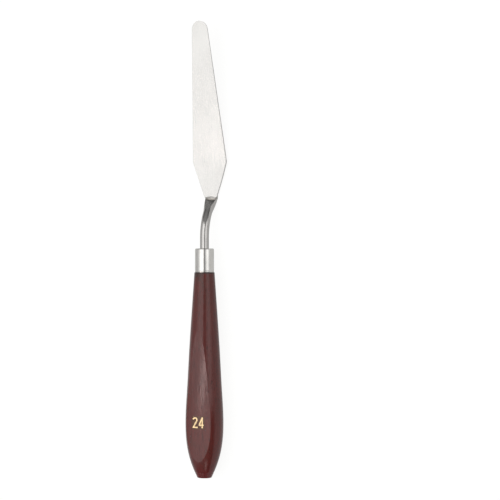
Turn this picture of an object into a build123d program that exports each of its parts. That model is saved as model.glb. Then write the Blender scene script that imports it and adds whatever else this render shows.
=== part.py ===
import os
from math import acos, atan2, cos, degrees, hypot, radians, sin, sqrt, tan

from build123d import *

# Palette knife with a cranked shank. Millimetres.
# The knife lies flat along +Y with its numbered flat up (+Z). The origin is the centre of the
# butt's flat end, on the handle's axis. A station is a distance along +Y from that end.

# Handle: turned hardwood with two sanded flats
handle_length = 98.5
butt_radius = 3.55
butt_corner = 0.4
butt_slope = 0.48            # of the outline where it leaves the butt
heel_of_hand_station = 10.0
heel_of_hand_radius = 7.25
belly_station = 25.5
belly_radius = 9.1
taper_station = 42.0
taper_radius = 8.4
shoulder_lip = 0.31          # the wood stands this far outside the ferrule
shoulder_corner = 0.25
shoulder_slope = -0.07       # of the outline where it reaches the ferrule
flat_height = 6.72           # from the axis to each flat
tang_depth = 38.0            # how far the tang reaches behind the shoulder
bore_pool = 2.0              # drilled on past the tang's end
drill_point_angle = 118.0

# Ferrule: drawn cup over the handle's spigot
ferrule_length = 11.5
ferrule_radius = 4.56
ferrule_wall = 0.3
ferrule_front_round = 0.6
ferrule_rim_round = 0.12
spigot_clearance = 0.02      # radial, spigot in cup
spigot_end_gap = 0.3         # spigot's end to the cup's front wall
spigot_chamfer = 0.4
rod_hole_clearance = 0.05    # radial, rod in the cup's hole

# Shank: round rod, cranked, pressed flat at its front end
rod_radius = 2.15
glue_gap = 0.3               # radial, tang to bore
tang_chamfer = 0.5
tang_groove_count = 4
tang_groove_pitch = 6.0
tang_groove_width = 1.4
tang_groove_depth = 0.3
straight_reach = 5.0         # straight rod in front of the ferrule
crank_radius = 24.0
crank_angle = 31.5
press_length = 8.16          # over this length the rod goes from round to flat
press_entry = 0.06           # the press dies stand this far off the rod where they start
press_half_width = 3.15
tongue_thickness = 0.9
tongue_length = 5.2
tongue_corner = 2.4

# Blade: trowel shape, ground thinner towards the tip
blade_length = 84.0          # heel to tip along +Y
heel_half_width = 3.2
corner_half_width = 8.95
corner_setback = 17.0        # heel to widest point
corner_round = 0.6
heel_edge_bow = 0.15
tip_radius = 4.15
heel_thickness = 1.0
tip_thickness = 0.5
heel_land = 6.0              # straight seat on the tongue
heel_pitch = 2.0
rocker_radius = 125.0
blade_pitch = 9.8

# Weld bead across the heel
weld_half_length = 3.05
weld_radius = 0.8
weld_crown = 0.3             # above the blade's top face
weld_setback = 0.2           # bead's centre behind the blade's end

# Foil number on the top flat
digit_height = 5.2
digit_width = 2.6
digit_gap = 0.65
digit_stroke = 0.66
two_bowl_start = 170.0       # angle where the stroke of the 2 begins
two_bowl_sweep = 205.0
four_bar_height = 1.15
four_bar_overhang = 0.42
mark_station = 26.9
foil_depth = 0.05
foil_proud = 0.02

# Places that follow from the sizes above
ferrule_front = handle_length + ferrule_length
shoulder_radius = ferrule_radius + shoulder_lip
spigot_radius = ferrule_radius - ferrule_wall - spigot_clearance
spigot_end = ferrule_front - ferrule_wall - spigot_end_gap
bore_radius = rod_radius + glue_gap
tang_end = handle_length - tang_depth
crank_start = ferrule_front + straight_reach
wide = 4 * belly_radius


def heading(angle):
    # Unit vector in the side view, turned up from the handle's axis
    return Vector(cos(radians(angle)), sin(radians(angle)))


def joined(*pieces):
    # One closed outline from lines and curves that meet end to end
    return Wire([edge for piece in pieces for edge in piece.edges()])


def in_side_view(drawing):
    # A drawing of station and height, stood up on the knife's middle plane
    return Plane.YZ * drawing


def turned(outline):
    return revolve(in_side_view(make_face(outline)), Axis.Y)


def across(outline, half_width):
    return extrude(in_side_view(make_face(outline)), half_width, both=True)


def crossing(first, first_heading, second, second_heading):
    # Where two straight lines of the side view meet
    gap = second - first
    turn = first_heading.X * second_heading.Y - first_heading.Y * second_heading.X
    return first + first_heading * ((gap.X * second_heading.Y - gap.Y * second_heading.X) / turn)


# The rod's centre line in the side view, and the crease where the blade's heel sits
bend_centre = Vector(crank_start, -crank_radius)
bend_end = bend_centre + heading(90 - crank_angle) * crank_radius
neck = bend_end + heading(-crank_angle) * press_length
press_start = bend_end + heading(90 - crank_angle) * (rod_radius + press_entry)
press_finish = neck + heading(90 - crank_angle) * (tongue_thickness / 2)
press_heading = press_finish - press_start
tongue_face = neck + heading(90 + heel_pitch) * (tongue_thickness / 2)
heel = crossing(tongue_face, heading(heel_pitch), press_finish, press_heading)
tip_station = heel.X + blade_length


def make_bore():
    bottom = tang_end - bore_pool
    point = bottom - bore_radius / tan(radians(drill_point_angle / 2))
    return turned(Polyline(
        (point, 0),
        (bottom, bore_radius),
        (spigot_end, bore_radius),
        (spigot_end, 0),
        close=True,
    ))


def make_handle(bore, size_mark):
    outline = joined(
        Line((0, butt_radius - butt_corner), (butt_corner, butt_radius)),
        Spline(
            (butt_corner, butt_radius),
            (heel_of_hand_station, heel_of_hand_radius),
            (belly_station, belly_radius),
            (taper_station, taper_radius),
            (handle_length - shoulder_corner, shoulder_radius),
            tangents=[(1, butt_slope), (1, shoulder_slope)],
        ),
        Polyline(
            (handle_length - shoulder_corner, shoulder_radius),
            (handle_length, shoulder_radius - shoulder_corner),
            (handle_length, spigot_radius),
            (spigot_end - spigot_chamfer, spigot_radius),
            (spigot_end, spigot_radius - spigot_chamfer),
            (spigot_end, 0),
            (0, 0),
            (0, butt_radius - butt_corner),
        ),
    )
    blank = turned(outline)
    between_flats = Box(wide, 2 * spigot_end, 2 * flat_height)
    return (blank & between_flats) - bore - size_mark


def make_ferrule():
    on_base = (Align.CENTER, Align.CENTER, Align.MIN)
    outside = Cylinder(ferrule_radius, ferrule_length, align=on_base)
    rims = outside.edges().filter_by(GeomType.CIRCLE).sort_by(Axis.Z)
    outside = fillet(rims[-1], ferrule_front_round)
    rims = outside.edges().filter_by(GeomType.CIRCLE).sort_by(Axis.Z)
    outside = fillet(rims[0], ferrule_rim_round)
    inside = Cylinder(ferrule_radius - ferrule_wall, ferrule_length - ferrule_wall, align=on_base)
    rims = inside.edges().filter_by(GeomType.CIRCLE).sort_by(Axis.Z)
    inside = fillet(rims[-1], ferrule_front_round - ferrule_wall)
    rod_hole = Cylinder(rod_radius + rod_hole_clearance, ferrule_length, align=on_base)
    return Pos(0, handle_length, 0) * Rot(-90, 0, 0) * (outside - inside - rod_hole)


def make_tang_grooves():
    grooves = []
    for number in range(1, tang_groove_count + 1):
        start = tang_end + number * tang_groove_pitch
        grooves.append(turned(Polyline(
            (start, rod_radius - tang_groove_depth),
            (start, rod_radius + glue_gap / 2),
            (start + tang_groove_width, rod_radius + glue_gap / 2),
            (start + tang_groove_width, rod_radius - tang_groove_depth),
            close=True,
        )))
    return grooves


def make_rod():
    tang = turned(Polyline(
        (tang_end, 0),
        (tang_end, rod_radius - tang_chamfer),
        (tang_end + tang_chamfer, rod_radius),
        (crank_start, rod_radius),
        (crank_start, 0),
        close=True,
    ))
    bend_section = Plane((0, crank_start, 0), x_dir=(1, 0, 0), z_dir=(0, 1, 0)) * Circle(rod_radius)
    bend_axis = Axis((0, bend_centre.X, bend_centre.Y), (-1, 0, 0))
    bend = revolve(bend_section, bend_axis, crank_angle)
    return tang - make_tang_grooves() + bend


def make_pressed_end():
    # The rod spreads as a cone, and the dies leave it two flat faces that close towards the neck
    slope = heading(-crank_angle)
    up = heading(90 - crank_angle)
    along_rod = Plane((0, bend_end.X, bend_end.Y), x_dir=(1, 0, 0), z_dir=(0, slope.X, slope.Y))
    base = (Align.CENTER, Align.CENTER, Align.MIN)
    spread = along_rod * Cone(rod_radius, press_half_width, press_length, align=base)
    between_dies = Polyline(
        press_start,
        press_finish,
        neck - up * (tongue_thickness / 2),
        bend_end - up * (rod_radius + press_entry),
        close=True,
    )
    return spread & across(between_dies, wide)


def make_tongue():
    half_width = sqrt(press_half_width ** 2 - (tongue_thickness / 2) ** 2)
    seat = heading(heel_pitch + 90)
    plane = Plane((0, neck.X, neck.Y), x_dir=(1, 0, 0), z_dir=(0, seat.X, seat.Y))
    outline = Rectangle(2 * half_width, tongue_length, align=(Align.CENTER, Align.MIN))
    outline = fillet(outline.vertices().group_by(Axis.Y)[-1], tongue_corner)
    plate = extrude(plane * outline, tongue_thickness / 2, both=True)
    fold = Cylinder(tongue_thickness / 2, 2 * half_width)
    return plate + Pos(0, neck.X, neck.Y) * Rot(0, 90, 0) * fold


def make_shank():
    return make_rod() + make_pressed_end() + make_tongue()


def make_tang_adhesive(bore):
    return bore - make_rod()


def blade_plan():
    # Half outline from the heel to the tip, on the +X side
    corner = Vector(corner_half_width, heel.X + corner_setback)
    tip_centre = Vector(0, tip_station - tip_radius)
    reach = corner - tip_centre
    touch_angle = degrees(atan2(reach.Y, reach.X) + acos(tip_radius / hypot(reach.X, reach.Y)))
    touch = tip_centre + heading(touch_angle) * tip_radius
    heel_corner = Vector(heel_half_width, heel.X)
    half = joined(
        Line((0, heel.X - heel_thickness), (heel_half_width, heel.X - heel_thickness)),
        Line((heel_half_width, heel.X - heel_thickness), heel_corner),
        SagittaArc(heel_corner, corner, -heel_edge_bow),
        Line(corner, touch),
        CenterArc(tip_centre, tip_radius, touch_angle, 90 - touch_angle),
        Line((0, tip_station), (0, heel.X - heel_thickness)),
    )
    right = make_face(half)
    plan = right + mirror(right, Plane.YZ)
    by_width = plan.vertices().group_by(Axis.X)
    return fillet(by_width[0] + by_width[-1], corner_round)


def blade_side():
    seat_start = heel + heading(heel_pitch + 90) * (heel_thickness / 2)
    seat_end = seat_start + heading(heel_pitch) * heel_land
    rocker_centre = seat_end + heading(heel_pitch + 90) * rocker_radius
    rocker_angle = blade_pitch - heel_pitch
    rocker_end = rocker_centre + heading(blade_pitch - 90) * rocker_radius
    run = (tip_station - rocker_end.X) / cos(radians(blade_pitch))
    tip = rocker_end + heading(blade_pitch) * run
    heel_normal = heading(heel_pitch + 90)
    tip_normal = heading(blade_pitch + 90)

    def face(side, thickness):
        radius = rocker_radius - side * heel_thickness / 2
        middle = rocker_centre + heading(heel_pitch + rocker_angle / 2 - 90) * radius
        offset = side * heel_thickness / 2
        return joined(
            Line(seat_start + heel_normal * offset, seat_end + heel_normal * offset),
            ThreePointArc(seat_end + heel_normal * offset, middle, rocker_end + tip_normal * offset),
            Line(rocker_end + tip_normal * offset, tip + tip_normal * (side * thickness / 2)),
        )

    top = face(1, tip_thickness)
    bottom = face(-1, tip_thickness)
    return joined(top, bottom, Line(top @ 0, bottom @ 0), Line(top @ 1, bottom @ 1))


def make_blade():
    sheet = across(blade_side(), wide)
    return sheet & extrude(blade_plan(), wide, both=True)


def make_heel_weld(blade, shank):
    # A spindle of metal laid in the fold between the pressed rod and the blade's end
    heel_top = heel + heading(heel_pitch + 90) * heel_thickness
    spindle = revolve(split(Ellipse(weld_half_length, weld_radius), Plane.XZ), Axis.X)
    height = heel_top.Y + weld_crown - weld_radius
    return Pos(0, heel.X - weld_setback, height) * spindle - blade - shank


def digit_two():
    bowl_radius = (digit_width - digit_stroke) / 2
    foot = digit_stroke / 2
    bowl = CenterArc((0, digit_height - foot - bowl_radius), bowl_radius, two_bowl_start, -two_bowl_sweep)
    strokes = Polyline(bowl @ 1, (-bowl_radius, foot), (digit_width / 2, foot))
    frame = Rectangle(digit_width, digit_height, align=(Align.CENTER, Align.MIN))
    return frame & (trace(bowl, digit_stroke) + trace(strokes, digit_stroke))


def digit_four():
    right = digit_width / 2
    stem_right = right - four_bar_overhang
    stem_left = stem_right - digit_stroke
    bar_top = four_bar_height + digit_stroke
    lean = Vector(stem_left + right, digit_height - bar_top)
    counter_left = digit_stroke * lean.length / lean.Y - right
    counter_top = bar_top + (stem_left - counter_left) * lean.Y / lean.X
    outside = Polygon(
        (stem_left, 0),
        (stem_right, 0),
        (stem_right, four_bar_height),
        (right, four_bar_height),
        (right, bar_top),
        (stem_right, bar_top),
        (stem_right, digit_height),
        (stem_left, digit_height),
        (-right, bar_top),
        (-right, four_bar_height),
        (stem_left, four_bar_height),
        align=None,
    )
    counter = Polygon((counter_left, bar_top), (stem_left, bar_top), (stem_left, counter_top), align=None)
    return outside - counter


def make_size_mark():
    step = (digit_width + digit_gap) / 2
    number = Pos(-step, 0) * digit_two() + Pos(step, 0) * digit_four()
    place = Pos(0, mark_station - digit_height / 2, flat_height - foil_depth)
    return place * extrude(number, foil_depth + foil_proud)


bore = make_bore()
shank = make_shank()
blade = make_blade()
size_mark = make_size_mark()
parts = {
    "handle": make_handle(bore, size_mark),
    "ferrule": make_ferrule(),
    "shank": shank,
    "tang_adhesive": make_tang_adhesive(bore),
    "blade": blade,
    "heel_weld": make_heel_weld(blade, shank),
    "size_mark": size_mark,
}

os.makedirs("parts", exist_ok=True)
for node, shape in parts.items():
    export_step(shape, f"parts/{node}.step")
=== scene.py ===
from math import acos, atan2, cos, hypot, pi, radians, sin, sqrt, tan

import bmesh
import bpy
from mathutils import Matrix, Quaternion, Vector


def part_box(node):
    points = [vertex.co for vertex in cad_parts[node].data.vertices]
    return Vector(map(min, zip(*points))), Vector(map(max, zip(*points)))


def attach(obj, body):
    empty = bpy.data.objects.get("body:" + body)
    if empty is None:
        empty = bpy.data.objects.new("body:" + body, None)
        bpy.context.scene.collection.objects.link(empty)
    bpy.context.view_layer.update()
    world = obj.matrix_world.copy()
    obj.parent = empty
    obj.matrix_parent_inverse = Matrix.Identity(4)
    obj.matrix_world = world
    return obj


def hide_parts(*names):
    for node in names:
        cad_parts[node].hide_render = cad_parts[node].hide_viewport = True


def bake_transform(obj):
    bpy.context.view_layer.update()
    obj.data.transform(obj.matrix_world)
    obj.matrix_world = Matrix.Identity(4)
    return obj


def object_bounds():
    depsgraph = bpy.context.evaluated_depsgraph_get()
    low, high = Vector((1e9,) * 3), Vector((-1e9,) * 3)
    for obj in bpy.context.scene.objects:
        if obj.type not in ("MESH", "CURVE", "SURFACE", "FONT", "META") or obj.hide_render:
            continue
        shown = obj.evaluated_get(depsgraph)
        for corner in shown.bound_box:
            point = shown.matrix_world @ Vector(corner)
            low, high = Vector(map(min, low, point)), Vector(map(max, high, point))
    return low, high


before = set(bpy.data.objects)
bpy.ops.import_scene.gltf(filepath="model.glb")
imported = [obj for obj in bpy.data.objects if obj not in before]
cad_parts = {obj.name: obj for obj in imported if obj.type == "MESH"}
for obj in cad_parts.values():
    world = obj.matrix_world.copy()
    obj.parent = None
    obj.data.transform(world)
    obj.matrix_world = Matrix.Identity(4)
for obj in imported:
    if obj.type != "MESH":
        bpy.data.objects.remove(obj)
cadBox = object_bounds()
mm = 0.001
print("frame loaded:", ", ".join(sorted(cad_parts)))

# Stations run along +Y from the butt, heights along +Z from the handle's axis, both in mm below
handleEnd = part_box("ferrule")[0].y / mm
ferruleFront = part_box("ferrule")[1].y / mm
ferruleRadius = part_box("ferrule")[1].x / mm
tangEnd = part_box("shank")[0].y / mm
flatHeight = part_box("handle")[1].z / mm
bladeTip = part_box("blade")[1].y / mm


# Selecting and tidying

def clearSelection():
    if bpy.context.object and bpy.context.object.mode != "OBJECT":
        bpy.ops.object.mode_set(mode="OBJECT")
    bpy.ops.object.select_all(action="DESELECT")


def placeNew(name):
    # The object just added gets its name, and its place goes into its mesh
    bpy.ops.object.transform_apply(location=True, rotation=True, scale=True)
    piece = bpy.context.object
    piece.name = name
    piece.data.name = name
    bpy.ops.object.mode_set(mode="EDIT")
    return piece


def pick(kind, wanted):
    # Selects the verts, edges or faces that are wanted, and nothing else; returns how many
    bpy.ops.mesh.select_mode(type={"verts": "VERT", "edges": "EDGE", "faces": "FACE"}[kind])
    bpy.ops.mesh.select_all(action="DESELECT")
    mesh = bpy.context.object.data
    cage = bmesh.from_edit_mesh(mesh)
    chosen = [item for item in getattr(cage, kind) if wanted(item)]
    for item in chosen:
        item.select_set(True)
    bmesh.update_edit_mesh(mesh)
    return len(chosen)


def onRing(station, radius):
    # True for an edge that lies on the ring of that station and radius
    def test(edge):
        return all(
            abs(v.co.y / mm - station) < 0.002 and abs(hypot(v.co.x, v.co.z) / mm - radius) < 0.002
            for v in edge.verts
        )
    return test


def growTo(move, spread=(1, 1, 1), around=None):
    # Pulls the picked face out by a distance in mm, then widens or narrows its new end
    bpy.ops.mesh.extrude_region_move(TRANSFORM_OT_translate={"value": Vector(move) * mm})
    if tuple(spread) != (1, 1, 1):
        bpy.ops.transform.resize(value=spread, center_override=Vector(around) * mm)


def cutFlat(place, normal, keepAll=False):
    # Slices what is picked, drops what lies past the plane and closes the cut
    bpy.ops.mesh.bisect(
        plane_co=Vector(place) * mm, plane_no=normal,
        use_fill=not keepAll, clear_outer=not keepAll, threshold=1e-7,
    )


def finishPiece(piece, body, node, material, smoothAngle=32):
    # Merged, facing outwards, smooth where it is round and crisp where it is flat
    bpy.ops.mesh.select_all(action="SELECT")
    bpy.ops.mesh.remove_doubles(threshold=1e-6)
    bpy.ops.mesh.normals_make_consistent(inside=False)
    bpy.ops.object.mode_set(mode="OBJECT")
    bpy.ops.object.shade_smooth_by_angle(angle=radians(smoothAngle))
    bpy.ops.object.modifier_add(type="WEIGHTED_NORMAL")
    bpy.context.object.modifiers[-1].keep_sharp = True
    bpy.ops.object.modifier_apply(modifier=bpy.context.object.modifiers[-1].name)
    piece.data.materials.clear()
    piece.data.materials.append(material)
    if body:
        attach(piece, body)
    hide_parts(node)
    print("piece done:", piece.name, len(piece.data.polygons), "faces")


def turnOnLathe(name, outline, turningSteps, curveSteps, closed=False):
    # Outline knots are (station, radius, slope); two knots with slopes are joined by a curve, others straight
    clearSelection()
    bpy.ops.curve.primitive_bezier_curve_add()
    curve = bpy.context.object.data
    curve.resolution_u = curveSteps
    spline = curve.splines[0]
    spline.bezier_points.add(len(outline) - 2)
    spline.use_cyclic_u = closed
    knots = [Vector((0, knot[0], knot[1])) * mm for knot in outline]
    count = len(outline)
    for number, point in enumerate(spline.bezier_points):
        point.handle_left_type = point.handle_right_type = "FREE"
        point.co = knots[number]
        for side in (-1, 1):
            other = (number + side) % count
            reach = (knots[other] - knots[number]) / 3
            slope = outline[number][2]
            if slope is not None and outline[other][2] is not None:
                reach = Vector((0, reach.y, reach.y * slope))
            if side < 0:
                point.handle_left = knots[number] + reach
            else:
                point.handle_right = knots[number] + reach
    bpy.ops.object.convert(target="MESH")
    piece = placeNew(name)
    bpy.ops.mesh.select_all(action="SELECT")
    bpy.ops.mesh.dissolve_limited(angle_limit=radians(0.15))
    bpy.ops.mesh.select_all(action="SELECT")
    bpy.ops.mesh.spin(steps=turningSteps, angle=2 * pi, center=(0, 0, 0), axis=(0, 1, 0))
    bpy.ops.mesh.select_all(action="SELECT")
    bpy.ops.mesh.remove_doubles(threshold=1e-6)
    bpy.ops.mesh.normals_make_consistent(inside=False)
    return piece


# Shader values

class Shade:
    # A shader socket that can be used in sums like a number
    def __init__(self, tree, socket=None):
        self.tree = tree
        self.socket = socket

    def node(self, kind, inputs=None, output=0, **settings):
        made = self.tree.nodes.new("ShaderNode" + kind)
        for name, value in settings.items():
            setattr(made, name, value)
        for name, value in (inputs or {}).items():
            if isinstance(value, Shade):
                self.tree.links.new(value.socket, made.inputs[name])
            else:
                made.inputs[name].default_value = value
        return Shade(self.tree, made.outputs[output])

    def sums(self, operation, *values):
        return self.node("Math", {place: value for place, value in enumerate(values)}, operation=operation)

    def __add__(self, other):
        return self.sums("ADD", self, other)

    def __radd__(self, other):
        return self.sums("ADD", other, self)

    def __sub__(self, other):
        return self.sums("SUBTRACT", self, other)

    def __rsub__(self, other):
        return self.sums("SUBTRACT", other, self)

    def __mul__(self, other):
        return self.sums("MULTIPLY", self, other)

    def __rmul__(self, other):
        return self.sums("MULTIPLY", other, self)

    def __abs__(self):
        return self.sums("ABSOLUTE", self)

    def between(self, low, high):
        # 0 below low, 1 above high, smooth in between
        limits = {"Value": self, "From Min": low, "From Max": high}
        return self.node("MapRange", limits, interpolation_type="SMOOTHSTEP")

    def tint(self, first, second):
        # The first colour where this is 0, the second where it is 1
        sockets = {0: self, 6: colour4(first), 7: colour4(second)}
        return self.node("Mix", sockets, output=2, data_type="RGBA", clamp_factor=True)

    def noise(self, stretch, detail, roughness=0.5, turn=(0, 0, 0)):
        # Cloudy pattern; stretch is how many of its lumps fit in a millimetre along X, Y and Z
        place = self.node("Mapping", {"Vector": self, "Scale": [s / mm for s in stretch], "Rotation": turn})
        return place.node("TexNoise", {"Vector": place, "Scale": 1.0, "Detail": detail, "Roughness": roughness})

    def bump(self, depth, strength):
        # Reads this as dents and ridges, up to a depth in metres
        return self.node("Bump", {"Height": self, "Distance": depth, "Strength": strength})


def colour4(value):
    return value if isinstance(value, Shade) else tuple(value) + (1,)


def newMaterial(name):
    material = bpy.data.materials.new(name)
    material.use_nodes = True
    tree = material.node_tree
    place = Shade(tree).node("TexCoord", output="Object")
    return material, tree.nodes["Principled BSDF"], place


def setShader(shader, values):
    for name, value in values.items():
        if isinstance(value, Shade):
            value.tree.links.new(value.socket, shader.inputs[name])
        else:
            shader.inputs[name].default_value = colour4(value) if isinstance(value, tuple) else value


# Camera

cameraSize = {
    "turn": 25.4,            # degrees from straight above, towards +X
    "distance": 900.0,
    "lens": 135.0,
    "middleStation": 109.25,
    "sideways": 21.84,       # the knife lies this far left of the middle of the view
}


def addCamera():
    turn = radians(cameraSize["turn"])
    right = Vector((cos(turn), 0, -sin(turn)))
    back = Vector((sin(turn), 0, cos(turn)))
    target = Vector((0, cameraSize["middleStation"], 0)) + right * cameraSize["sideways"]
    clearSelection()
    bpy.ops.object.camera_add(
        location=(target + back * cameraSize["distance"]) * mm, rotation=(0, turn, 0))
    camera = bpy.context.object
    camera.name = "studioCamera"
    camera.data.lens = cameraSize["lens"]
    camera.data.clip_start = 0.01
    bpy.context.scene.camera = camera
    print("camera placed")


# Materials

woodLook = {
    "deep": (0.074, 0.0108, 0.0085),
    "wine": (0.150, 0.0245, 0.0190),
    "pore": (0.040, 0.0085, 0.0075),
    "brown": (0.052, 0.0200, 0.0120),
    "buttRed": (0.135, 0.0150, 0.0150),
    # Painted shade colour for the shoulder tucked under the ferrule
    "shoulderShade": (0.032, 0.0130, 0.0090),
    "stamped": (0.085, 0.038, 0.012),
    "roughness": 0.13,
    "gloss": 0.52,
    # Stations in metres where each change of colour starts and ends
    "grimeFrom": (0.074, 0.100),
    "redUpTo": (0.0015, 0.0065),
    # Painted shade on the shoulder starts and is full at these stations
    "shoulderShadeFrom": (0.0976, 0.0981),
}


def lacqueredWood():
    material, shader, place = newMaterial("lacqueredWood")
    across, along, up = (place.node("SeparateXYZ", {0: place}, output=axis) for axis in range(3))
    blotches = place.noise((0.09, 0.05, 0.09), detail=4, roughness=0.6)
    streaks = place.noise((1.1, 0.035, 1.1), detail=5, roughness=0.62)
    fineGrain = place.noise((4.5, 0.11, 4.5), detail=3, roughness=0.6)
    pores = place.noise((3.4, 0.17, 3.4), detail=2, roughness=0.4).between(0.58, 0.68)
    specks = place.noise((0.85, 0.5, 0.85), detail=2).between(0.64, 0.71)
    smudges = place.noise((0.16, 0.10, 0.16), detail=4, roughness=0.6)
    peel = place.noise((0.7, 0.35, 0.7), detail=2)
    depth = blotches * 0.9 + streaks * 1.1 + fineGrain * 0.35 - 0.68
    colour = depth.tint(woodLook["deep"], woodLook["wine"])

    # Browner and dirtier towards the ferrule, redder at the butt, and painted shade darkening the shoulder
    # under the ferrule
    grime = along.between(*woodLook["grimeFrom"]) * smudges.between(0.36, 0.66)
    colour = (grime * 0.8 + smudges.between(0.52, 0.75) * 0.30).tint(colour, woodLook["brown"])
    colour = (0.75 - along.between(*woodLook["redUpTo"]) * 0.75).tint(colour, woodLook["buttRed"])
    colour = (pores * 0.6).tint(colour, woodLook["pore"])
    colour = (specks * 0.5).tint(colour, woodLook["pore"])
    # Painted shade: the shoulder under the ferrule's rim is darkened to stand in for its contact shadow
    colour = (along.between(*woodLook["shoulderShadeFrom"]) * 0.75).tint(colour, woodLook["shoulderShade"])

    # The hot stamp has browned the lacquer round the number
    low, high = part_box("size_mark")
    offX = abs(across - (low.x + high.x) / 2) - (high.x - low.x) / 2
    offY = abs(along - (low.y + high.y) / 2) - (high.y - low.y) / 2
    stamped = (1 - offX.between(0.0002, 0.0008)) * (1 - offY.between(0.0002, 0.0009)) * up.between(0.002, 0.004)
    colour = (stamped * (smudges * 0.4 + 0.45)).tint(colour, woodLook["stamped"])

    height = peel * 0.9 - pores * 0.35 + streaks * 0.2 - specks * 0.3
    setShader(shader, {
        "Base Color": colour, "Roughness": smudges * 0.14 + specks * 0.12 + woodLook["roughness"] - 0.05,
        "Normal": height.bump(0.00005, 0.6), "Specular IOR Level": woodLook["gloss"],
    })
    return material


nickelLook = {
    "colour": (0.80, 0.785, 0.76),
    "dull": (0.66, 0.645, 0.615),
    # Painted reflection: a warm, darker colour that stands in for the red handle mirrored in the nickel near
    # the rim
    "rimReflection": (0.42, 0.38, 0.33),
    "rimReflectionTo": (0.0997, 0.0986),    # station in metres where the painted reflection of the handle at the rim ends and where it is full
    "roughness": 0.10,
}


def nickelPlate():
    material, shader, place = newMaterial("nickelPlate")
    lines = place.noise((0.05, 14.0, 0.05), detail=3, roughness=0.6)
    haze = place.noise((0.25, 0.2, 0.25), detail=4, roughness=0.65)
    dents = place.noise((0.35, 0.22, 0.35), detail=1)
    scuffs = place.noise((7.0, 0.6, 7.0), detail=2, turn=(0, 0, 0.4)).between(0.66, 0.72)
    along = place.node("SeparateXYZ", {0: place}, output=1)
    # Painted reflection of the handle at the ferrule's rear rim, blotched by the haze
    rimReflection = along.between(*nickelLook["rimReflectionTo"]) * haze.between(0.3, 0.6)
    dull = haze.between(0.35, 0.75) * 0.5 + lines * 0.2 + scuffs * 0.2
    colour = dull.tint(nickelLook["colour"], nickelLook["dull"])
    colour = (rimReflection * 0.45).tint(colour, nickelLook["rimReflection"])
    setShader(shader, {
        "Base Color": colour, "Metallic": 1.0,
        "Roughness": haze * 0.08 + lines * 0.05 + scuffs * 0.12 + nickelLook["roughness"] - 0.05,
        "Normal": (lines * 0.10 + dents).bump(0.00002, 0.6),
    })
    return material


steelLook = {
    "colour": (0.60, 0.585, 0.565),
    "dull": (0.47, 0.455, 0.44),
    "nick": (0.25, 0.24, 0.23),
    "roughness": 0.12,
}


def polishedSteel():
    material, shader, place = newMaterial("polishedSteel")
    drawLines = place.noise((9.0, 0.10, 9.0), detail=3, roughness=0.6)
    haze = place.noise((0.5, 0.25, 0.5), detail=4, roughness=0.6)
    nicks = place.noise((2.4, 1.2, 2.4), detail=2).between(0.70, 0.76)
    colour = (haze.between(0.3, 0.8) * 0.45 + drawLines * 0.3).tint(steelLook["colour"], steelLook["dull"])
    colour = (nicks * 0.5).tint(colour, steelLook["nick"])
    setShader(shader, {
        "Base Color": colour, "Metallic": 1.0,
        "Roughness": haze * 0.12 + drawLines * 0.10 + nicks * 0.2 + steelLook["roughness"] - 0.08,
        "Normal": (drawLines * 0.5 + haze * 0.5 - nicks * 0.6).bump(0.000018, 0.6),
    })
    return material


bladeLook = {"colour": (0.71, 0.70, 0.68), "worn": (0.61, 0.60, 0.58), "roughness": 0.27}


def bladeSteel():
    material, shader, place = newMaterial("bladeSteel")
    grind = place.noise((11.0, 0.16, 0.6), detail=4, roughness=0.65)
    broad = place.noise((1.3, 0.05, 0.2), detail=3)
    clouds = place.noise((0.10, 0.07, 0.1), detail=4, roughness=0.55)
    scratch = place.noise((6.0, 0.35, 0.5), detail=1, turn=(0, 0, 0.5)).between(0.70, 0.745)
    crossed = place.noise((0.35, 6.5, 0.5), detail=1, turn=(0, 0, 0.22)).between(0.71, 0.75)
    worn = clouds.between(0.30, 0.75) * 0.35 + grind * 0.22 + broad * 0.15
    colour = worn.tint(bladeLook["colour"], bladeLook["worn"])
    setShader(shader, {
        "Base Color": colour, "Metallic": 1.0,
        "Roughness": clouds * 0.08 + grind * 0.12 + bladeLook["roughness"] - 0.10,
        "Normal": (grind * 0.6 + broad * 0.5 - scratch * 0.5 - crossed * 0.4).bump(0.000012, 0.5),
    })
    return material


weldLook = {"colour": (0.56, 0.545, 0.52), "heated": (0.45, 0.42, 0.375), "roughness": 0.33}


def weldMetal():
    material, shader, place = newMaterial("weldMetal")
    ripples = place.noise((2.6, 0.5, 0.5), detail=2)
    grit = place.noise((6.0, 6.0, 6.0), detail=3, roughness=0.6)
    heat = place.noise((0.8, 0.8, 0.8), detail=2).between(0.35, 0.7)
    colour = (heat * 0.7).tint(weldLook["colour"], weldLook["heated"])
    setShader(shader, {
        "Base Color": colour, "Metallic": 1.0,
        "Roughness": grit * 0.20 + weldLook["roughness"] - 0.10,
        "Normal": (ripples * 0.8 + grit * 0.35).bump(0.00006, 0.6),
    })
    return material


foilLook = {"colour": (0.82, 0.62, 0.36), "worn": (0.66, 0.485, 0.26), "roughness": 0.22}


def goldFoil():
    material, shader, place = newMaterial("goldFoil")
    crinkle = place.noise((3.0, 3.0, 3.0), detail=4, roughness=0.6)
    pinholes = place.noise((5.5, 4.0, 5.5), detail=2).between(0.66, 0.71)
    grain = place.noise((4.0, 0.25, 4.0), detail=3)
    colour = (crinkle * 0.6 + grain * 0.3).tint(foilLook["colour"], foilLook["worn"])
    colour = pinholes.tint(colour, woodLook["deep"])
    setShader(shader, {
        "Base Color": colour, "Metallic": 1 - pinholes,
        "Roughness": crinkle * 0.15 + foilLook["roughness"],
        "Normal": (crinkle * 0.6 + grain * 0.5).bump(0.00002, 0.6),
    })
    return material


epoxyLook = {"deep": (0.42, 0.24, 0.07), "clear": (0.58, 0.40, 0.16), "roughness": 0.25}


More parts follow.
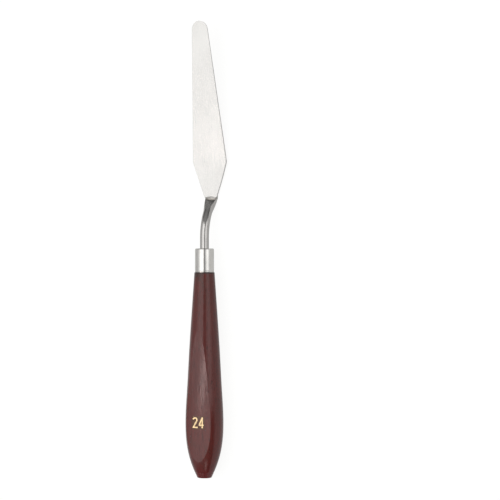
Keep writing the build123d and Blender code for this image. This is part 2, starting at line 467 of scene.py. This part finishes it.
def castEpoxy():
    material, shader, place = newMaterial("castEpoxy")
    clouds = place.noise((0.4, 0.3, 0.4), detail=3)
    bubbles = place.noise((2.2, 2.2, 2.2), detail=1).between(0.68, 0.72)
    colour = (clouds + bubbles * 0.4).tint(epoxyLook["deep"], epoxyLook["clear"])
    setShader(shader, {
        "Base Color": colour, "Roughness": clouds * 0.2 + epoxyLook["roughness"],
        "Normal": (clouds * 0.5 - bubbles).bump(0.00005, 0.5),
    })
    return material


# Handle

handleSize = {
    "curve": [               # station, radius, slope
        (0.4, 3.55, 0.48), (10.0, 7.25, 0.2756), (25.5, 9.10, 0.0057), (42.0, 8.40, -0.0657),
        (60.0, 7.40, -0.0575), (80.0, 6.126, -0.0674), (98.25, 4.87, -0.07),
    ],
    "turnedLines": [1.3, 2.35],   # fine rings left by the turning tool near the butt
    "turnedLineWidth": 0.42,
    "turnedLineDepth": 0.12,
    "buttRound": 0.32,
    "shoulderDrop": 0.02,
    "shoulderRound": 0.16,
    "spigotRadius": 4.24,
    "spigotEnd": 109.4,
    "spigotChamfer": 0.4,
    "boreRadius": 2.45,
    "boreBottom": 58.5,
    "borePoint": 57.03,
    "flatEdgeRound": 0.14,
    "flatEdgeMerge": 0.14,   # corners of the flat's rim nearer than this become one
    "flatCrown": 62.0,       # the sanded flats are slightly round across, with this radius
    "flatCuts": (0, 1.3, -1.3, 2.6, -2.6, 3.9, -3.9, 5.2, -5.2, 6.5, -6.5),
    "turningSteps": 144,
    "curveSteps": 12,
}


def curveAt(station):
    # Radius and slope of the handle's long curve
    knots = handleSize["curve"]
    for (y0, r0, s0), (y1, r1, s1) in zip(knots, knots[1:]):
        if station <= y1 or y1 == knots[-1][0]:
            span = y1 - y0
            t = (station - y0) / span
            radius = (
                r0 * (1 + 2 * t) * (1 - t) ** 2 + s0 * span * t * (1 - t) ** 2
                + r1 * t * t * (3 - 2 * t) + s1 * span * t * t * (t - 1)
            )
            slope = (
                (r1 - r0) * 6 * t * (1 - t) / span + s0 * (1 - t) * (1 - 3 * t) + s1 * t * (3 * t - 2)
            )
            return radius, slope


def shoulderRadius():
    # A little inside the curve's last knot, where the shoulder meets the ferrule
    return curveAt(handleSize["curve"][-1][0])[0] - handleSize["shoulderDrop"]


def handleOutline():
    size = handleSize
    outline = [(0, 0, None), (0, curveAt(0)[0], None)]
    for line in size["turnedLines"]:
        near, far = line - size["turnedLineWidth"] / 2, line + size["turnedLineWidth"] / 2
        outline.append((near, *curveAt(near)))
        outline.append((line, curveAt(line)[0] - size["turnedLineDepth"], None))
        outline.append((far, *curveAt(far)))
    outline += size["curve"][1:]
    outline += [
        (handleEnd, shoulderRadius(), None),
        (handleEnd, size["spigotRadius"], None),
        (size["spigotEnd"] - size["spigotChamfer"], size["spigotRadius"], None),
        (size["spigotEnd"], size["spigotRadius"] - size["spigotChamfer"], None),
        (size["spigotEnd"], size["boreRadius"], None),
        (size["boreBottom"], size["boreRadius"], None),
        (size["borePoint"], 0, None),
    ]
    return outline


def makeHandle():
    size = handleSize
    piece = turnOnLathe("turnedHandle", handleOutline(), size["turningSteps"], size["curveSteps"])
    pick("edges", onRing(0, curveAt(0)[0]))
    bpy.ops.mesh.bevel(offset=size["buttRound"] * mm, segments=5, affect="EDGES")
    pick("edges", onRing(handleEnd, shoulderRadius()))
    bpy.ops.mesh.bevel(offset=size["shoulderRound"] * mm, segments=4, affect="EDGES")
    for side in (1, -1):
        sanded = []
        for angle in size["flatCuts"]:
            normal = Vector((sin(radians(angle)), 0, side * cos(radians(angle))))
            place = Vector((0, 0, side * (flatHeight - size["flatCrown"]))) + normal * size["flatCrown"]
            bpy.ops.mesh.select_all(action="SELECT")
            cutFlat(place, normal)
            sanded.append((place, normal))

        def onFlat(v):
            return any(abs((v.co / mm - place).dot(normal)) < 0.001 for place, normal in sanded)

        def atRim(e):
            flats = [any(f.normal.dot(normal) > 0.99999 for place, normal in sanded) for f in e.link_faces]
            return all(onFlat(v) for v in e.verts) and sum(flats) == 1

        pick("verts", lambda v: onFlat(v) and hypot(v.co.x, v.co.z) / mm > flatHeight + 0.02)
        bpy.ops.mesh.remove_doubles(threshold=size["flatEdgeMerge"] * mm)
        pick("edges", atRim)
        bpy.ops.mesh.bevel(offset=size["flatEdgeRound"] * mm, segments=3, affect="EDGES", clamp_overlap=True)
    finishPiece(piece, "root", "handle", lacqueredWood(), 30)


# Ferrule

ferruleSize = {
    "wall": 0.30,
    "frontRound": 0.60,
    "rimRound": 0.11,
    "holeRadius": 2.20,
    "holeRound": 0.10,
    "rimLine": 0.72,         # a fine rolled line this far in front of the rim
    "rimLineWidth": 0.34,
    "rimLineDepth": 0.06,
    "turningSteps": 128,
}


def makeFerrule():
    size = ferruleSize
    inner = ferruleRadius - size["wall"]
    line = handleEnd + size["rimLine"]
    half = size["rimLineWidth"] / 2
    outline = [
        (handleEnd, inner, None),
        (handleEnd, ferruleRadius, None),
        (line - half, ferruleRadius, None),
        (line, ferruleRadius - size["rimLineDepth"], None),
        (line + half, ferruleRadius, None),
        (ferruleFront, ferruleRadius, None),
        (ferruleFront, size["holeRadius"], None),
        (ferruleFront - size["wall"], size["holeRadius"], None),
        (ferruleFront - size["wall"], inner, None),
    ]
    piece = turnOnLathe("drawnFerrule", outline, size["turningSteps"], 4, closed=True)
    rounds = [
        (handleEnd, ferruleRadius, size["rimRound"], 3),
        (ferruleFront, ferruleRadius, size["frontRound"], 7),
        (ferruleFront, size["holeRadius"], size["holeRound"], 3),
        (ferruleFront - size["wall"], inner, size["frontRound"] - size["wall"], 4),
    ]
    for station, radius, offset, segments in rounds:
        pick("edges", onRing(station, radius))
        bpy.ops.mesh.bevel(offset=offset * mm, segments=segments, affect="EDGES")
    finishPiece(piece, "root", "ferrule", nickelPlate())


# Shank

shankSize = {
    "radius": 2.15,
    "tangChamfer": 0.5,
    "grooves": 4,
    "groovePitch": 6.0,
    "grooveWidth": 1.4,
    "grooveDepth": 0.3,
    "grooveWall": 0.12,      # length over which each groove's side slopes
    "crankStart": 115.0,
    "crankRadius": 24.0,
    "crankAngle": 31.5,
    "pressLength": 8.057,
    "pressWidth": 3.137,     # half width where it meets the blade's heel
    "pressThickness": 0.472, # half thickness there
    "pressEntry": 2.21,
    "pressEdgeRound": 0.22,
    "pressSteps": 12,
    "heelPitch": 2.0,
    "tongueLength": 5.2,
    "tongueCorner": 2.4,
    "around": 96,
}


def crankPoint():
    # Where the curved part of the rod ends, and the way the rod runs on from there
    size = shankSize
    turn = radians(size["crankAngle"])
    radius = size["crankRadius"]
    end = Vector((0, size["crankStart"] + radius * sin(turn), radius * (cos(turn) - 1)))
    along = Vector((0, cos(turn), -sin(turn)))
    up = Vector((0, sin(turn), cos(turn)))
    return end, along, up


def makeShank():
    size = shankSize
    radius = size["radius"]
    clearSelection()
    bpy.ops.mesh.primitive_circle_add(
        vertices=size["around"], radius=(radius - size["tangChamfer"]) * mm, fill_type="NGON",
        location=(0, tangEnd * mm, 0), rotation=(-pi / 2, 0, 0))
    piece = placeNew("crankedShank")
    bpy.ops.mesh.select_all(action="SELECT")
    station = tangEnd

    def rodTo(nextStation, scale=1.0):
        nonlocal station
        growTo((0, nextStation - station, 0), (scale, 1, scale), (0, nextStation, 0))
        station = nextStation

    rodTo(tangEnd + size["tangChamfer"], radius / (radius - size["tangChamfer"]))
    shrink = (radius - size["grooveDepth"]) / radius
    for number in range(1, size["grooves"] + 1):
        start = tangEnd + number * size["groovePitch"]
        rodTo(start)
        rodTo(start + size["grooveWall"], shrink)
        rodTo(start + size["grooveWidth"] - size["grooveWall"])
        rodTo(start + size["grooveWidth"], 1 / shrink)
    for stop in (handleEnd, ferruleFront - 1, ferruleFront + 1, size["crankStart"]):
        rodTo(stop)
    bpy.ops.mesh.spin(
        steps=24, angle=radians(size["crankAngle"]), axis=(1, 0, 0),
        center=(0, size["crankStart"] * mm, -size["crankRadius"] * mm))
    print("shank bent")

    # Pressed end: it widens as a cone, then two flats are cut that close towards the blade
    end, along, up = crankPoint()
    steps, length = size["pressSteps"], size["pressLength"]
    pick("faces", lambda f: f.normal.dot(along) > 0.999 and (f.calc_center_median() / mm - end).length < 0.1)
    width = radius
    for number in range(1, steps + 1):
        share = number / steps
        target = radius + (size["pressWidth"] - radius) * share
        growTo(along * (length / steps), (target / width,) * 3, end + along * length * share)
        width = target
    pinch = atan2(size["pressEntry"] - size["pressThickness"], size["pressLength"])
    for side in (1, -1):
        normal = up * side * cos(pinch) + along * sin(pinch)
        entry = end + up * side * size["pressEntry"]
        pick("faces", lambda f: (f.calc_center_median() / mm - end).dot(along) > 0.0)
        cutFlat(entry, normal)
        pick("edges", lambda e: all(abs((v.co / mm - entry).dot(normal)) < 0.002 for v in e.verts)
             and max((v.co / mm - end).dot(along) for v in e.verts) < size["pressLength"] - 0.002)
        bpy.ops.mesh.bevel(offset=size["pressEdgeRound"] * mm, segments=3, affect="EDGES", clamp_overlap=True)
    print("shank pressed")

    # Tongue: folded up about the crease where the blade's heel sits, and rounded at its end
    neck = end + along * size["pressLength"]
    crease = neck + up * size["pressThickness"]
    fold = size["crankAngle"] + size["heelPitch"]
    pick("faces", lambda f: f.normal.dot(along) > 0.999 and (f.calc_center_median() / mm - neck).length < 0.3)
    bpy.ops.mesh.spin(steps=8, angle=radians(fold), axis=(-1, 0, 0), center=crease * mm)
    pitch = radians(size["heelPitch"])
    seatAlong, seatUp = Vector((0, cos(pitch), sin(pitch))), Vector((0, -sin(pitch), cos(pitch)))
    middle = crease - seatUp * size["pressThickness"]
    pick("faces", lambda f: f.normal.dot(seatAlong) > 0.999
         and (f.calc_center_median() / mm - middle).length < 0.3)
    straight = size["tongueLength"] - size["tongueCorner"]
    growTo(seatAlong * straight)
    reach, width = straight, size["pressWidth"]
    for number in range(1, 9):
        angle = number / 8 * pi / 2
        nextReach = straight + size["tongueCorner"] * sin(angle)
        nextWidth = size["pressWidth"] - size["tongueCorner"] * (1 - cos(angle))
        growTo(seatAlong * (nextReach - reach), (nextWidth / width, 1, 1), middle + seatAlong * nextReach)
        reach, width = nextReach, nextWidth
    finishPiece(piece, "root", "shank", polishedSteel(), 34)


# Blade

bladeSize = {
    "length": 84.0,
    "heelHalfWidth": 3.2,
    "cornerHalfWidth": 8.95,
    "cornerSetback": 17.0,
    "cornerRound": 0.6,
    "heelBow": 0.15,
    "tipRadius": 4.15,
    "heelThickness": 1.0,
    "tipThickness": 0.5,
    "edgeRound": 0.11,
    "heelHeight": -6.845,    # middle of the sheet at the heel
    "heelLand": 6.0,
    "heelPitch": 2.0,
    "rockerRadius": 125.0,
    "bladePitch": 9.8,
    "rowPitch": 1.4,
}


def bladeMiddle(station):
    # Height of the sheet's middle, and its thickness, at a station
    size = bladeSize
    heel = bladeTip - size["length"] - 0.04
    low, high = radians(size["heelPitch"]), radians(size["bladePitch"])
    landEnd = Vector((heel + size["heelLand"] * cos(low), size["heelHeight"] + size["heelLand"] * sin(low)))
    centre = landEnd + Vector((-sin(low), cos(low))) * size["rockerRadius"]
    rockerEnd = centre.x + size["rockerRadius"] * sin(high)
    if station <= landEnd.x:
        return size["heelHeight"] + (station - heel) * tan(low), size["heelThickness"]
    if station <= rockerEnd:
        across = station - centre.x
        return centre.y - sqrt(size["rockerRadius"] ** 2 - across ** 2), size["heelThickness"]
    share = (station - rockerEnd) / (bladeTip - rockerEnd)
    height = centre.y - size["rockerRadius"] * cos(high) + (station - rockerEnd) * tan(high)
    return height, size["heelThickness"] + (size["tipThickness"] - size["heelThickness"]) * share


def makeBlade():
    size = bladeSize
    heel = bladeTip - size["length"]
    corner = heel + size["cornerSetback"]
    tipCentre = bladeTip - size["tipRadius"]
    # Where the straight side meets the round tip
    sideways, forward = size["cornerHalfWidth"], corner - tipCentre
    touch = atan2(forward, sideways) + acos(size["tipRadius"] / hypot(sideways, forward))
    touchStation = tipCentre + size["tipRadius"] * sin(touch)
    touchWidth = size["tipRadius"] * cos(touch)
    half = size["heelThickness"] / 2

    clearSelection()
    bpy.ops.mesh.primitive_circle_add(
        vertices=120, radius=size["tipRadius"] * mm, fill_type="NGON",
        location=(0, tipCentre * mm, half * mm), rotation=(0, 0, pi / 2))
    piece = placeNew("groundBlade")
    bpy.ops.mesh.select_all(action="SELECT")
    bpy.ops.mesh.bisect(
        plane_co=(0, touchStation * mm, 0), plane_no=(0, 1, 0), clear_inner=True, threshold=1e-7)
    stations = [(corner, size["cornerHalfWidth"])]
    for number in range(1, 9):
        share = number / 8
        bow = size["heelBow"] * 4 * share * (1 - share)
        width = size["cornerHalfWidth"] + (size["heelHalfWidth"] - size["cornerHalfWidth"]) * share
        stations.append((corner + (heel - corner) * share, width + bow * 0.95))
    station, width = touchStation, touchWidth
    for nextStation, nextWidth in stations:
        pick("edges", lambda e: all(abs(v.co.y / mm - station) < 0.002 for v in e.verts))
        bpy.ops.mesh.extrude_region_move(TRANSFORM_OT_translate={"value": (0, (nextStation - station) * mm, 0)})
        bpy.ops.transform.resize(value=(nextWidth / width, 1, 1), center_override=(0, nextStation * mm, 0))
        station, width = nextStation, nextWidth
    pick("verts", lambda v: abs(v.co.y / mm - corner) < 0.002)
    bpy.ops.mesh.bevel(offset=size["cornerRound"] * 0.7 * mm, segments=6, affect="VERTICES")
    bpy.ops.mesh.select_all(action="SELECT")
    bpy.ops.mesh.dissolve_limited(angle_limit=radians(0.05))
    pick("faces", lambda f: True)
    bpy.ops.mesh.extrude_region_move(TRANSFORM_OT_translate={"value": (0, 0, -2 * half * mm)})
    bpy.ops.mesh.select_all(action="SELECT")
    bpy.ops.mesh.normals_make_consistent(inside=False)
    pick("edges", lambda e: abs(e.verts[0].co.z - e.verts[1].co.z) < 1e-7)
    bpy.ops.mesh.bevel(offset=size["edgeRound"] * mm, segments=3, affect="EDGES")
    print("blade cut out")

    # Rows across the sheet let it follow its side curve
    row = heel + size["rowPitch"] / 2
    while row < bladeTip - size["rowPitch"] / 2:
        bpy.ops.mesh.select_all(action="SELECT")
        cutFlat((0, row, 0), (0, 1, 0), keepAll=True)
        row += size["rowPitch"]
    cage = bmesh.from_edit_mesh(piece.data)
    cage.verts.ensure_lookup_table()
    rows = []
    for v in sorted(cage.verts, key=lambda v: v.co.y):
        if rows and v.co.y / mm - rows[-1][0] < 0.004:
            rows[-1][1].add(v.index)
        else:
            rows.append((v.co.y / mm, {v.index}))
    for place, members in rows:
        height, thickness = bladeMiddle(place)
        pick("verts", lambda v: v.index in members)
        bpy.ops.transform.resize(
            value=(1, 1, thickness / size["heelThickness"]), center_override=(0, place * mm, 0))
        bpy.ops.transform.translate(value=(0, 0, height * mm))
    finishPiece(piece, None, "blade", bladeSteel(), 32)
    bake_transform(piece)


# Weld bead

weldSize = {
    "halfLength": 3.05,
    "radius": 0.8,
    "station": 134.457,
    "height": -6.845,
    "ripple": 0.035,         # share of the radius
}


def makeWeld():
    size = weldSize
    clearSelection()
    bpy.ops.mesh.primitive_uv_sphere_add(
        segments=40, ring_count=37, radius=size["radius"] * mm, rotation=(0, pi / 2, 0),
        location=(0, size["station"] * mm, size["height"] * mm))
    piece = placeNew("heelWeld")
    bpy.ops.mesh.select_all(action="SELECT")
    middle = Vector((0, size["station"], size["height"])) * mm
    bpy.ops.transform.resize(value=(size["halfLength"] / size["radius"], 1, 1), center_override=middle)
    cage = bmesh.from_edit_mesh(piece.data)
    rings = sorted({round(v.co.x / mm, 3) for v in cage.verts})[2:-2]
    for number, place in enumerate(rings):
        swell = 1 + size["ripple"] * sin(number * 2.1) * (1 - abs(place) / size["halfLength"])
        pick("verts", lambda v: abs(v.co.x / mm - place) < 0.001)
        bpy.ops.transform.resize(value=(1, swell, swell), center_override=middle)
    finishPiece(piece, "root", "heel_weld", weldMetal(), 60)


# Stage

lightSize = {
    # name: first and last angle from straight up towards +X, distance, first and last station in metres,
    # brightness, seen in reflections
    "overheadBright": (-20, 15.5, 1.0, -0.80, 0.70, 1.09, True),
    "overheadMiddle": (-34, -20, 1.0, -0.80, 0.70, 1.00, True),
    "overheadDim": (-50, -34, 1.0, -0.80, 0.70, 0.52, True),
    "leftWall": (-89, -50, 1.1, -0.80, 0.70, 0.38, True),
    "rightInner": (39, 53, 1.1, 0.04, 0.65, 0.66, True),
    "rightSoftbox": (53, 76, 1.1, 0.04, 0.65, 1.08, True),
    "rightOuter": (76, 89, 1.1, 0.04, 0.65, 0.72, True),
    "softFill": (-25, 50, 1.6, -1.1, 1.3, 0.36, False),
}

panelSize = {
    # name: angle from straight up towards +X, place along Y, height, width and length, roll, brightness
    "buttPanel": (41.4, -0.716, 0.524, (0.22, 0.30), 0, 1.5),
    "flatStreak": (-19.9, 0.029, 0.35, (0.011, 0.078), 46, 9.0),
}


panelColour = (1.0, 0.82, 0.79)


def addLights():
    for name, (first, last, distance, near, far, brightness, reflected) in lightSize.items():
        turn = radians((first + last) / 2)
        width = 2 * distance * tan(radians((last - first) / 2))
        length = far - near
        clearSelection()
        bpy.ops.object.light_add(
            type="AREA", rotation=(0, turn, 0),
            location=(distance * sin(turn), (near + far) / 2, distance * cos(turn)))
        lamp = bpy.context.object
        lamp.name = name
        lamp.data.shape = "RECTANGLE"
        lamp.data.size = width
        lamp.data.size_y = length
        lamp.data.energy = brightness * pi * width * length
        lamp.visible_camera = False
        lamp.visible_glossy = reflected
    # Two small panels make the narrow streaks on the butt and along the flat's edge
    for name, (angle, station, height, size, roll, brightness) in panelSize.items():
        clearSelection()
        aim = Vector((-height * tan(radians(angle)), min(0, -station), -height)).to_track_quat("-Z", "Y")
        bpy.ops.object.light_add(
            type="AREA", location=(height * tan(radians(angle)), station, height),
            rotation=(aim @ Quaternion((0, 0, 1), radians(roll))).to_euler())
        panel = bpy.context.object
        panel.name = name
        panel.data.shape = "RECTANGLE"
        panel.data.size, panel.data.size_y = size
        panel.data.energy = brightness * pi * size[0] * size[1]
        panel.data.color = panelColour
        panel.visible_camera = False
    print("lights placed")


studioLook = {
    "floor": (0.12, 0.12, 0.119),
    "floorLight": (0.14, 0.14, 0.139),
    "floorGlow": 0.915,       # seen straight
    "floorBounce": 0.50,     # seen in the metal and the lacquer
    "low": 0.11,
    "high": 0.33,
    "backdrop": (0.96, 0.96, 0.955),
}


def addStudio():
    clearSelection()
    bpy.ops.mesh.primitive_plane_add(size=6, location=(0, 0.11, cadBox[0][2] - 0.00006))
    bpy.ops.object.transform_apply(location=True, rotation=True, scale=True)
    floor = bpy.context.object
    floor.name = "studioFloor"
    material, shader, place = newMaterial("paleFloor")
    tone = place.noise((0.004, 0.004, 0.004), detail=2)
    straight = place.node("LightPath", output="Is Camera Ray")
    glow = straight * (studioLook["floorGlow"] - studioLook["floorBounce"]) + studioLook["floorBounce"]
    setShader(shader, {
        "Base Color": tone.tint(studioLook["floor"], studioLook["floorLight"]), "Roughness": 0.9,
        "Specular IOR Level": 0.1, "Emission Color": (1.0, 1.0, 0.995), "Emission Strength": glow,
    })
    floor.data.materials.append(material)

    world = bpy.data.worlds.new("studioWorld")
    world.use_nodes = True
    bpy.context.scene.world = world
    tree = world.node_tree
    sky = Shade(tree)
    up = sky.node("SeparateXYZ", {0: sky.node("TexCoord", output="Generated")}, output=2)
    glow = up.between(0.05, 0.9) * (studioLook["high"] - studioLook["low"]) + studioLook["low"]
    cameraRay = sky.node("LightPath", output="Is Camera Ray")
    colour = cameraRay.tint(glow.tint((0, 0, 0), (1, 1, 1)), studioLook["backdrop"])
    tree.links.new(colour.socket, tree.nodes["Background"].inputs["Color"])
    bpy.context.scene.view_settings.view_transform = "Standard"
    print("studio ready")


addCamera()
makeHandle()
makeFerrule()
makeShank()
makeBlade()
makeWeld()
for node, material in (("size_mark", goldFoil()), ("tang_adhesive", castEpoxy())):
    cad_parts[node].data.materials.clear()
    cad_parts[node].data.materials.append(material)
addStudio()
addLights()
